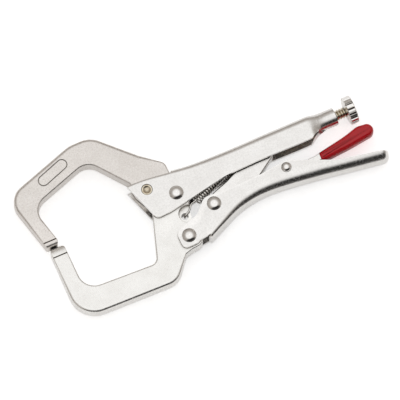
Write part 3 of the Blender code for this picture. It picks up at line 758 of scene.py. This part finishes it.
def upper_handle():
    lip = upper_lip()
    lean = (FRONT_TOP[0] - FRONT_FOOT[0]) / (FRONT_TOP[1] - FRONT_FOOT[1])

    def slanted_x(y, share):
        front = FRONT_FOOT[0] + lean * (y - FRONT_FOOT[1])
        return front + (FRONT_END_X - front) * share

    def lip_height(share):
        low, high = -9.0, 0.0
        for _ in range(40):
            middle = (low + high) / 2
            if line_value(lip, slanted_x(middle, share)) > middle:
                low = middle
            else:
                high = middle
        return low

    rows = []
    fans = [0.0, 0.012, 0.025, 0.04, 0.055, 0.07, 0.085, 0.1, 0.14, 0.2, 0.27, 0.35, 0.43, 0.5,
            0.56, 0.62, 0.68, 0.74, 0.8, 0.86, 0.93]
    for share in fans:
        foot = lip_height(share)
        spine = smooth_value(UPPER_SPINE, slanted_x(12.0, share))
        half = channel_half(foot, spine, FACE_Z, smooth_value(UPPER_FOLD, slanted_x(12.0, share)))
        rows.append([Vector((slanted_x(y, share), y, MID_Z + z)) for y, z in both_halves(half)])

    def channel_at(x):
        return channel_half(line_value(lip, x), smooth_value(UPPER_SPINE, x), FACE_Z,
                            smooth_value(UPPER_FOLD, x))

    x = FRONT_END_X
    while x < NECK_START_X:
        rows.append([Vector((x, y, MID_Z + z)) for y, z in both_halves(channel_at(x))])
        x += ROW_SPACING
    for step in range(NECK_ROWS + 1):
        share = step / NECK_ROWS
        x = NECK_START_X + (SOCKET_START_X - NECK_START_X) * share
        half = channel_at(x)
        round_half = socket_half(half)
        turned = ease((x - ROLL_START_X) / (SOCKET_START_X - ROLL_START_X))
        mix = [(y0 + (y1 - y0) * turned, z0 + (z1 - z0) * turned)
               for (y0, z0), (y1, z1) in zip(half, round_half)]
        rows.append([Vector((x, y, MID_Z + z)) for y, z in both_halves(mix)])
    last = rows[-1]
    for x in (SOCKET_START_X + 1.6, SOCKET_START_X + 3.2, SOCKET_END_X):
        rows.append([Vector((x, point.y, point.z)) for point in last])

    middle = (len(rows[0]) - 1) / 2
    spine_columns = 11

    def present(i, j):
        on_spine = abs(j + 0.5 - middle) < spine_columns
        ahead = (rows[i][int(middle)].x + rows[i + 1][int(middle)].x) / 2 < JAW_SLOT_END_X
        return not (on_spine and ahead)

    mesh = thick_sheet("upper_handle_shell", rows, -SHEET, present)
    body = body_from("upper_handle_shell", mesh)
    cut(body, [hole_tool("pin_hole", JAW_PIN, PIN_RADIUS + 0.12)])
    soften(body, SHEET_EDGE)
    finish_piece(body, PRESSED, "upper_handle", "satin_nickel", "upper_handle")


LOWER_SPINE = [(4.0, -26.6), (13.5, -22.3), (23.0, -18.4), (33.0, -16.5), (43.0, -16.6),
               (62.0, -19.0), (80.0, -22.0), (95.0, -24.3)]
# (x, radius) of the fold, which widens until the tail is nearly half round
LOWER_FOLD = [(4.0, 2.2), (14.0, 2.8), (28.0, 4.0), (43.0, 4.6), (62.0, 5.0), (80.0, 5.4),
              (95.0, 5.6)]
# (x, width) of the fold seen from the side
LOWER_REACH = [(4.0, 2.2), (14.0, 3.0), (28.0, 4.8), (43.0, 5.8), (62.0, 6.4), (80.0, 6.6),
               (95.0, 6.6)]
SPINE_START_X = 6.3
TAIL_TURN_X = 3.6              # length over which the spine turns up to close the tail
TAIL_TOP_Y = -20.3


def lower_handle():
    """Channel open towards +Y, with two ears ahead of its spine and a closed, rounded tail."""
    ear_x = -7.5
    top_corners = [(ear_x, -22.0, 0.0), (ear_x, -16.9, 3.8), (4.4, -13.1, 5.0), (10.2, -7.1, 4.0),
                   (26.0, -7.8, 0.0), (38.0, -7.5, 0.0), (51.4, -6.0, 7.0), (72.0, -15.2, 20.0),
                   (91.0, -18.8, 3.5), (TAIL_X + 0.5, TAIL_TOP_Y, 0.0)]
    ear_corners = [(ear_x, -20.0, 0.0), (ear_x, -25.3, 4.7), (-0.8, -25.3, 1.5), (1.6, -24.3, 2.0),
                   (SPINE_START_X, -23.7, 0.0), (SPINE_START_X + 1.0, -23.7, 0.0)]
    top = [(p.x, p.y) for p in rounded(top_corners, closed=False)[0][1:]]
    foot = [(p.x, p.y) for p in rounded(ear_corners, closed=False)[0][1:]]
    tail_start = TAIL_X - TAIL_TURN_X

    def quarter(x, start, end):
        """0 at start, rising to 1 at end along a quarter circle."""
        share = min(1.0, max(0.0, (x - start) / (end - start)))
        return 1 - math.sqrt(1 - share * share)

    def section(x):
        lip = line_value(top, x)
        spine = smooth_value(LOWER_SPINE, max(x, LOWER_SPINE[0][0]))
        spine += (lip - 0.05 - spine) * quarter(x, tail_start, TAIL_X)
        half = FACE_Z - FOLD_RADIUS * quarter(x, TAIL_X - FOLD_RADIUS, TAIL_X)
        fold = smooth_value(LOWER_FOLD, max(x, LOWER_FOLD[0][0]))
        reach = smooth_value(LOWER_REACH, max(x, LOWER_REACH[0][0]))
        if x < SPINE_START_X:
            spine = line_value(foot, x) - FOLD_RADIUS
            fold = reach = FOLD_RADIUS
        half_section = channel_half(lip, spine, half, min(fold, half - 0.1), reach)
        return [Vector((x, y, MID_Z + z)) for y, z in both_halves(half_section)]

    stations = [ear_x + 4.2 * (1 - math.cos(math.radians(90.0) * step / 12)) + 0.02
                for step in range(13)]
    stations += [-1.9, -0.6, 0.6, 1.6, 2.6, 3.6, 4.5, 5.4, SPINE_START_X - 0.001, SPINE_START_X]
    x = SPINE_START_X + 0.9
    while x < tail_start - 1.0:
        stations.append(x)
        x += 0.9 if x < 14.0 else 2.2
    stations += [tail_start + TAIL_TURN_X * math.sin(math.radians(90.0) * step / 14)
                 for step in range(15)]
    rows = [section(x) for x in stations]
    first_spine = stations.index(SPINE_START_X)
    middle = (len(rows[0]) - 1) / 2
    wall_columns = 6

    def present(i, j):
        on_wall = abs(j + 0.5 - middle) > middle - wall_columns
        if i < first_spine:
            return on_wall
        return True

    mesh = thick_sheet("lower_handle_shell", rows, SHEET, present)
    body = body_from("lower_handle_shell", mesh)
    cut(body, [hole_tool("handle_bore", HANDLE_PIVOT, SHANK_RADIUS + GAP)])
    soften(body, SHEET_EDGE)
    finish_piece(body, PRESSED, "lower_handle", "satin_nickel", "lower_handle")


# ---- link and release lever ----------------------------------------------------------------
def toggle_link():
    tip = Vector((47.0, SCREW_Y))
    foot = Vector((LINK_PIVOT.x, LINK_PIVOT.y))
    run = tip - foot
    direction = run.normalized()
    across = Vector((-direction.y, direction.x))
    nose = 2.2
    end = run.length + nose
    corners = []
    for along, aside, radius in [(-4.3, -4.3, 4.2), (22.0, -7.2, 5.0), (34.5, -5.6, 3.0),
                                 (end, -2.3, 2.2), (end, nose, 2.1), (12.0, 3.0, 8.0),
                                 (4.5, 4.1, 4.0), (-4.3, 4.1, 4.0)]:
        point = foot + direction * along + across * aside
        corners.append((point.x, point.y, radius))
    body = body_from("link", plate_mesh("link", corners, LINK_Z, 0.7))
    cut(body, [hole_tool("link_bore", LINK_PIVOT, SHANK_RADIUS + GAP)])
    finish_piece(body, PRESSED, "toggle_link", "satin_nickel", "toggle_link")


def release_lever():
    tail = [(64.0, -8.6, 0.0), (80.0, -6.3, 0.0), (90.5, -5.0, 1.6), (91.5, -8.3, 1.6),
            (80.4, -10.2, 0.0), (64.0, -11.3, 0.0)]
    corners = [(54.0, -12.6, 6.0), (49.8, -12.4, 3.0), (41.4, -12.2, 1.6), (41.4, -8.6, 1.2),
               (47.2, -6.4, 2.6), (52.0, -6.6, 2.6), (55.0, -9.0, 3.0)] + tail
    body = body_from("lever_stamping", plate_mesh("lever_stamping", corners, LEVER_Z, 0.3, 3))
    slot = [(38.0, -20.0, 0.0), (61.0, -20.0, 0.0), (61.0, -10.9, 1.0), (55.0, -10.5, 1.0),
            (52.0, -8.1, 1.0), (38.0, -9.6, 0.0)]
    trough = [(56.0, -9.9, 1.0), (95.0, -7.4, 0.0), (95.0, 0.0, 0.0), (56.0, 0.0, 0.0)]
    cut(body, [hole_tool("lever_bore", LEVER_PIVOT, SMALL_SHANK_RADIUS + GAP),
               cutter("lever_slot", plate_mesh("lever_slot", slot, LEVER_Z - 1.5)),
               cutter("lever_trough", plate_mesh("lever_trough", trough, LEVER_Z - 1.3))])
    finish_piece(body, PRESSED, "release_lever", "satin_nickel", "release_lever")


def release_sleeve():
    """Dipped sleeve: full round edges, a thin rolled mouth, hollow where the tail goes in."""
    corners = [(65.6, -12.3, 1.4), (65.6, -7.9, 1.4), (80.0, -5.3, 30.0), (86.6, -3.4, 6.0),
               (93.4, -4.0, 3.6), (93.4, -9.6, 3.6), (80.4, -11.2, 20.0)]
    body = body_from("vinyl_sleeve", plate_mesh("vinyl_sleeve", corners, SLEEVE_Z, 1.7, 10,
                                                rise=SLEEVE_RISE))
    room = [(60.0, -12.0, 0.0), (60.0, -8.4, 0.0), (64.0, -8.2, 0.0), (80.0, -5.95, 0.0),
            (90.9, -4.6, 1.9), (91.9, -8.6, 1.9), (80.4, -10.55, 0.0), (64.0, -11.7, 0.0)]
    cut(body, [cutter("sleeve_room", plate_mesh("sleeve_room", room, LEVER_Z + GAP / 2, 0.4))])
    finish_piece(body, VINYL, "release_lever", "red_vinyl", "release_lever_sleeve")


# ---- adjusting screw and knob --------------------------------------------------------------
def adjusting_screw():
    """Rod with a real helical thread and a turned tip."""
    sides = 40
    per_turn = 10

    def radius_at(x, angle):
        phase = (x / THREAD_PITCH - angle / math.tau) % 1.0
        crest = min(1.0, max(0.0, 1.35 - 2.7 * abs(phase - 0.5)))
        tip = ease((x - SCREW_START_X) / 1.2)
        return (SCREW_RADIUS - 0.9 + 0.9 * tip) - THREAD_DEPTH * (1 - crest) * tip

    def build(work):
        count = round((SCREW_END_X - SCREW_START_X) / THREAD_PITCH * per_turn)
        rings = []
        for step in range(count + 1):
            x = SCREW_START_X + (SCREW_END_X - SCREW_START_X) * step / count
            ring = []
            for side in range(sides):
                angle = math.tau * side / sides
                reach = radius_at(x, angle)
                ring.append((x, SCREW_Y + reach * math.cos(angle), MID_Z + reach * math.sin(angle)))
            rings.append(ring)
        loft(work, rings)
    body = body_from("threaded_rod", mesh_from(build, "threaded_rod"))
    finish_piece(body, OILED, "adjusting_screw", "dark_steel", "adjusting_screw", sharp=50.0)


def adjusting_knob():
    """Ribbed knob: a low hub towards the screw and grooves between the ribs."""
    per_rib = 12
    around = KNOB_RIBS * per_rib
    bore = SCREW_RADIUS + 0.04
    start, end, rim = KNOB_START_X, KNOB_END_X, KNOB_RADIUS
    # (x, radius, share of the groove's depth)
    profile = [(start, bore, 0.0), (start, 3.3, 0.0), (start + 0.1, 3.5, 0.0),
               (start + 0.45, rim - 1.0, 0.0), (start + 0.6, rim - 0.3, 0.75),
               (start + 0.75, rim - 0.08, 0.97), (start + 0.95, rim, 1.0), (end - 0.4, rim, 1.0),
               (end - 0.2, rim - 0.08, 0.97), (end - 0.06, rim - 0.3, 0.75),
               (end, rim - 1.1, 0.0), (end, 3.6, 0.0), (end - 0.35, 3.2, 0.0), (end - 0.4, bore, 0.0)]

    def groove(index):
        away = abs((index % per_rib) / per_rib - 0.5) * 2.0
        return ease(1.0 - away / 0.5) if away < 0.5 else 0.0

    def build(work):
        loops = []
        for x, radius, share in profile:
            ring = []
            for index in range(around):
                angle = math.tau * index / around
                reach = radius - KNOB_GROOVE_DEPTH * share * groove(index)
                ring.append(work.verts.new((x, SCREW_Y + reach * math.cos(angle),
                                            MID_Z + reach * math.sin(angle))))
            loops.append(ring)
        for first, second in zip(loops, loops[1:] + loops[:1]):
            for index in range(around):
                after = (index + 1) % around
                work.faces.new((first[index], first[after], second[after], second[index]))
    body = body_from("ribbed_knob", mesh_from(build, "ribbed_knob"))
    finish_piece(body, BRIGHT, "adjusting_knob", "bright_nickel", "adjusting_knob", sharp=45.0)


# ---- return spring -------------------------------------------------------------------------
def smooth_path(points, steps=8):
    """Catmull-Rom curve through points."""
    path = []
    for index in range(len(points) - 1):
        p0 = points[max(0, index - 1)]
        p1, p2 = points[index], points[index + 1]
        p3 = points[min(len(points) - 1, index + 2)]
        for step in range(steps):
            t = step / steps
            path.append((p1 * 2 + (p2 - p0) * t + (p0 * 2 - p1 * 5 + p2 * 4 - p3) * t * t
                         + (p1 * 3 - p0 - p2 * 3 + p3) * t**3) / 2)
    path.append(points[-1])
    return path


def return_spring():
    """Close-wound coil with a hook into the lower jaw and a hook through the handle's tab."""
    start = Vector((*SPRING_START, MID_Z))
    end = Vector((*SPRING_END, MID_Z))
    axis = (end - start).normalized()
    side = Vector((-axis.y, axis.x, 0.0))
    up = Vector((0.0, 0.0, 1.0))
    top = MID_Z + SPRING_RADIUS
    hole_x, hole_y = SPRING_HOLE
    steps = SPRING_TURNS * 24
    coil = []
    for step in range(steps + 1):
        angle = math.tau * SPRING_TURNS * step / steps
        centre = start.lerp(end, step / steps)
        coil.append(centre + (up * math.cos(angle) + side * math.sin(angle)) * SPRING_RADIUS)
    lead = [Vector((hole_x, hole_y, MID_Z - 1.0)), Vector((hole_x, hole_y, MID_Z + 0.9)),
            Vector((hole_x + 0.3, hole_y + 0.2, top - 0.25)),
            Vector((hole_x + 1.1, hole_y + 0.6, top + 0.15)),
            Vector((hole_x + 3.1, hole_y + 1.8, top + 0.2)),
            Vector((hole_x + 4.7, hole_y + 3.9, top + 0.2)),
            Vector((hole_x + 6.2, hole_y + 4.5, top + 0.15)), coil[0]]
    tab_x, tab_y = SPRING_TAB
    trail = [coil[-1], Vector((SPRING_END[0] + 0.8, tab_y, MID_Z + 1.1)),
             Vector((tab_x - 0.4, tab_y, MID_Z)), Vector((tab_x + 2.6, tab_y, MID_Z))]
    points = smooth_path(lead)[:-1] + coil[:-1] + smooth_path(trail)

    def build(work):
        tube(work, points, SPRING_WIRE_RADIUS)
    body = body_from("coil_spring", mesh_from(build, "coil_spring"))
    body.data.materials.append(SPRING_WIRE)
    body.data.shade_smooth()
    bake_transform(body)
    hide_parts("return_spring")


def spring_tab():
    """Tab inside the upper handle that holds the spring's rear hook."""
    tab_x, tab_y = SPRING_TAB
    high = smooth_value(UPPER_SPINE, tab_x) - SHEET / 2
    outline = [(-1.7, tab_y - 1.7, 1.2), (1.7, tab_y - 1.7, 1.2), (1.7, high, 0.0), (-1.7, high, 0.0)]

    def build(work):
        points, _ = rounded(outline)
        loft(work, [[(x, point.y, MID_Z + point.x) for point in points]
                    for x in (tab_x, tab_x + 1.4)])
    body = body_from("spring_tab", mesh_from(build, "spring_tab"))
    soften(body, 0.2)
    finish_piece(body, PRESSED, "upper_handle", "satin_nickel")


# ---- stage: floor, light and camera --------------------------------------------------------
def floor():
    """Pale studio floor with a faint paper grain."""
    def build(work):
        bmesh.ops.create_grid(work, x_segments=8, y_segments=8, size=FLOOR_HALF_WIDTH)
    ground = body_from("studio_floor", mesh_from(build, "studio_floor"))
    material, tree, shader = shader_of("studio_paper", 0.9, 0.0)
    grain = noise(tree, 60.0, 3.0)
    colour = ramp(tree, grain, [(0.3, (0.88, 0.88, 0.88)), (0.7, (0.91, 0.91, 0.91))])
    tree.links.new(colour, shader.inputs["Base Color"])
    tree.links.new(colour, shader.inputs["Emission Color"])
    rays = tree.nodes.new("ShaderNodeLightPath")
    tree.links.new(spread(tree, rays.outputs["Is Camera Ray"], 0.36, 0.65, 0.0, 1.0),
                   shader.inputs["Emission Strength"])
    shader.inputs["Specular IOR Level"].default_value = 0.1
    ground.data.materials.append(material)


def sky_gradient(tree, height, stops):
    return ramp(tree, height, [(place, (level, level * warm, level * warm**2))
                               for place, level, warm in stops])


def studio_light():
    """A broad bright sky, dark low down towards -Y, so that the folds facing there read."""
    world = bpy.data.worlds.new("studio")
    bpy.context.scene.world = world
    world.use_nodes = True
    tree = world.node_tree
    background = tree.nodes["Background"]
    coordinates = tree.nodes.new("ShaderNodeTexCoord")
    split = tree.nodes.new("ShaderNodeSeparateXYZ")
    tree.links.new(coordinates.outputs["Generated"], split.inputs["Vector"])
    height = split.outputs["Z"]
    near = sky_gradient(tree, height, [(0.0, 0.1, 0.95), (0.35, 0.04, 0.95), (0.6, 0.012, 0.97),
                                       (0.78, 0.012, 0.97), (0.86, 0.6, 1.0), (0.92, 1.05, 1.0),
                                       (1.0, 1.1, 1.0)])
    far = sky_gradient(tree, height, [(0.0, 0.36, 0.92), (0.5, 0.44, 0.93), (0.76, 0.64, 0.97),
                                      (0.9, 1.05, 1.0), (1.0, 1.1, 1.0)])
    share = spread(tree, split.outputs["Y"], 0.0, 1.0, -0.7, -0.4)
    mix = tree.nodes.new("ShaderNodeMix")
    mix.data_type = "RGBA"
    tree.links.new(share, mix.inputs["Factor"])
    tree.links.new(near, mix.inputs["A"])
    tree.links.new(far, mix.inputs["B"])
    seen = tree.nodes.new("ShaderNodeLightPath")
    shown = tree.nodes.new("ShaderNodeMix")
    shown.data_type = "RGBA"
    shown.inputs["B"].default_value = (0.93, 0.93, 0.93, 1.0)
    tree.links.new(seen.outputs["Is Camera Ray"], shown.inputs["Factor"])
    tree.links.new(mix.outputs["Result"], shown.inputs["A"])
    tree.links.new(shown.outputs["Result"], background.inputs["Color"])
    background.inputs["Strength"].default_value = 1.0


def camera():
    """Camera high above the table, turned so that the handles rise to the right."""
    azimuth, elevation = math.radians(CAMERA_AZIMUTH), math.radians(CAMERA_ELEVATION)
    target = Vector(CAMERA_TARGET) * MM
    right = Vector((math.cos(azimuth), math.sin(azimuth), 0.0))
    back = Vector((math.sin(azimuth) * math.cos(elevation),
                   -math.cos(azimuth) * math.cos(elevation), math.sin(elevation)))
    up = back.cross(right)
    lens = bpy.data.cameras.new("camera")
    lens.angle = 2 * math.atan(FIELD_WIDTH * MM / 2 / CAMERA_DISTANCE)
    lens.clip_end = 20.0
    eye = bpy.data.objects.new("camera", lens)
    bpy.context.scene.collection.objects.link(eye)
    rotation = Matrix((right, up, back)).transposed().to_4x4()
    eye.matrix_world = Matrix.Translation(target + back * CAMERA_DISTANCE) @ rotation
    bpy.context.scene.camera = eye


upper_jaw()
lower_jaw()
upper_handle()
lower_handle()
jaw_pin()
rivet("jaw_rivet", JAW_PIVOT, HEAD_RADIUS, SHANK_RADIUS, "upper_handle", "jaw_pivot_rivet")
rivet("handle_rivet", HANDLE_PIVOT, HEAD_RADIUS, SHANK_RADIUS, "lower_jaw", "handle_pivot_rivet")
rivet("link_rivet", LINK_PIVOT, HEAD_RADIUS, SHANK_RADIUS, "lower_handle", "link_pivot_rivet")
rivet("lever_rivet", LEVER_PIVOT, SMALL_HEAD_RADIUS, SMALL_SHANK_RADIUS, "lower_handle", "lever_pivot_rivet")
toggle_link()
release_lever()
release_sleeve()
adjusting_screw()
adjusting_knob()
spring_tab()
return_spring()
floor()
studio_light()
camera()
bpy.context.scene.view_settings.view_transform = "Standard"
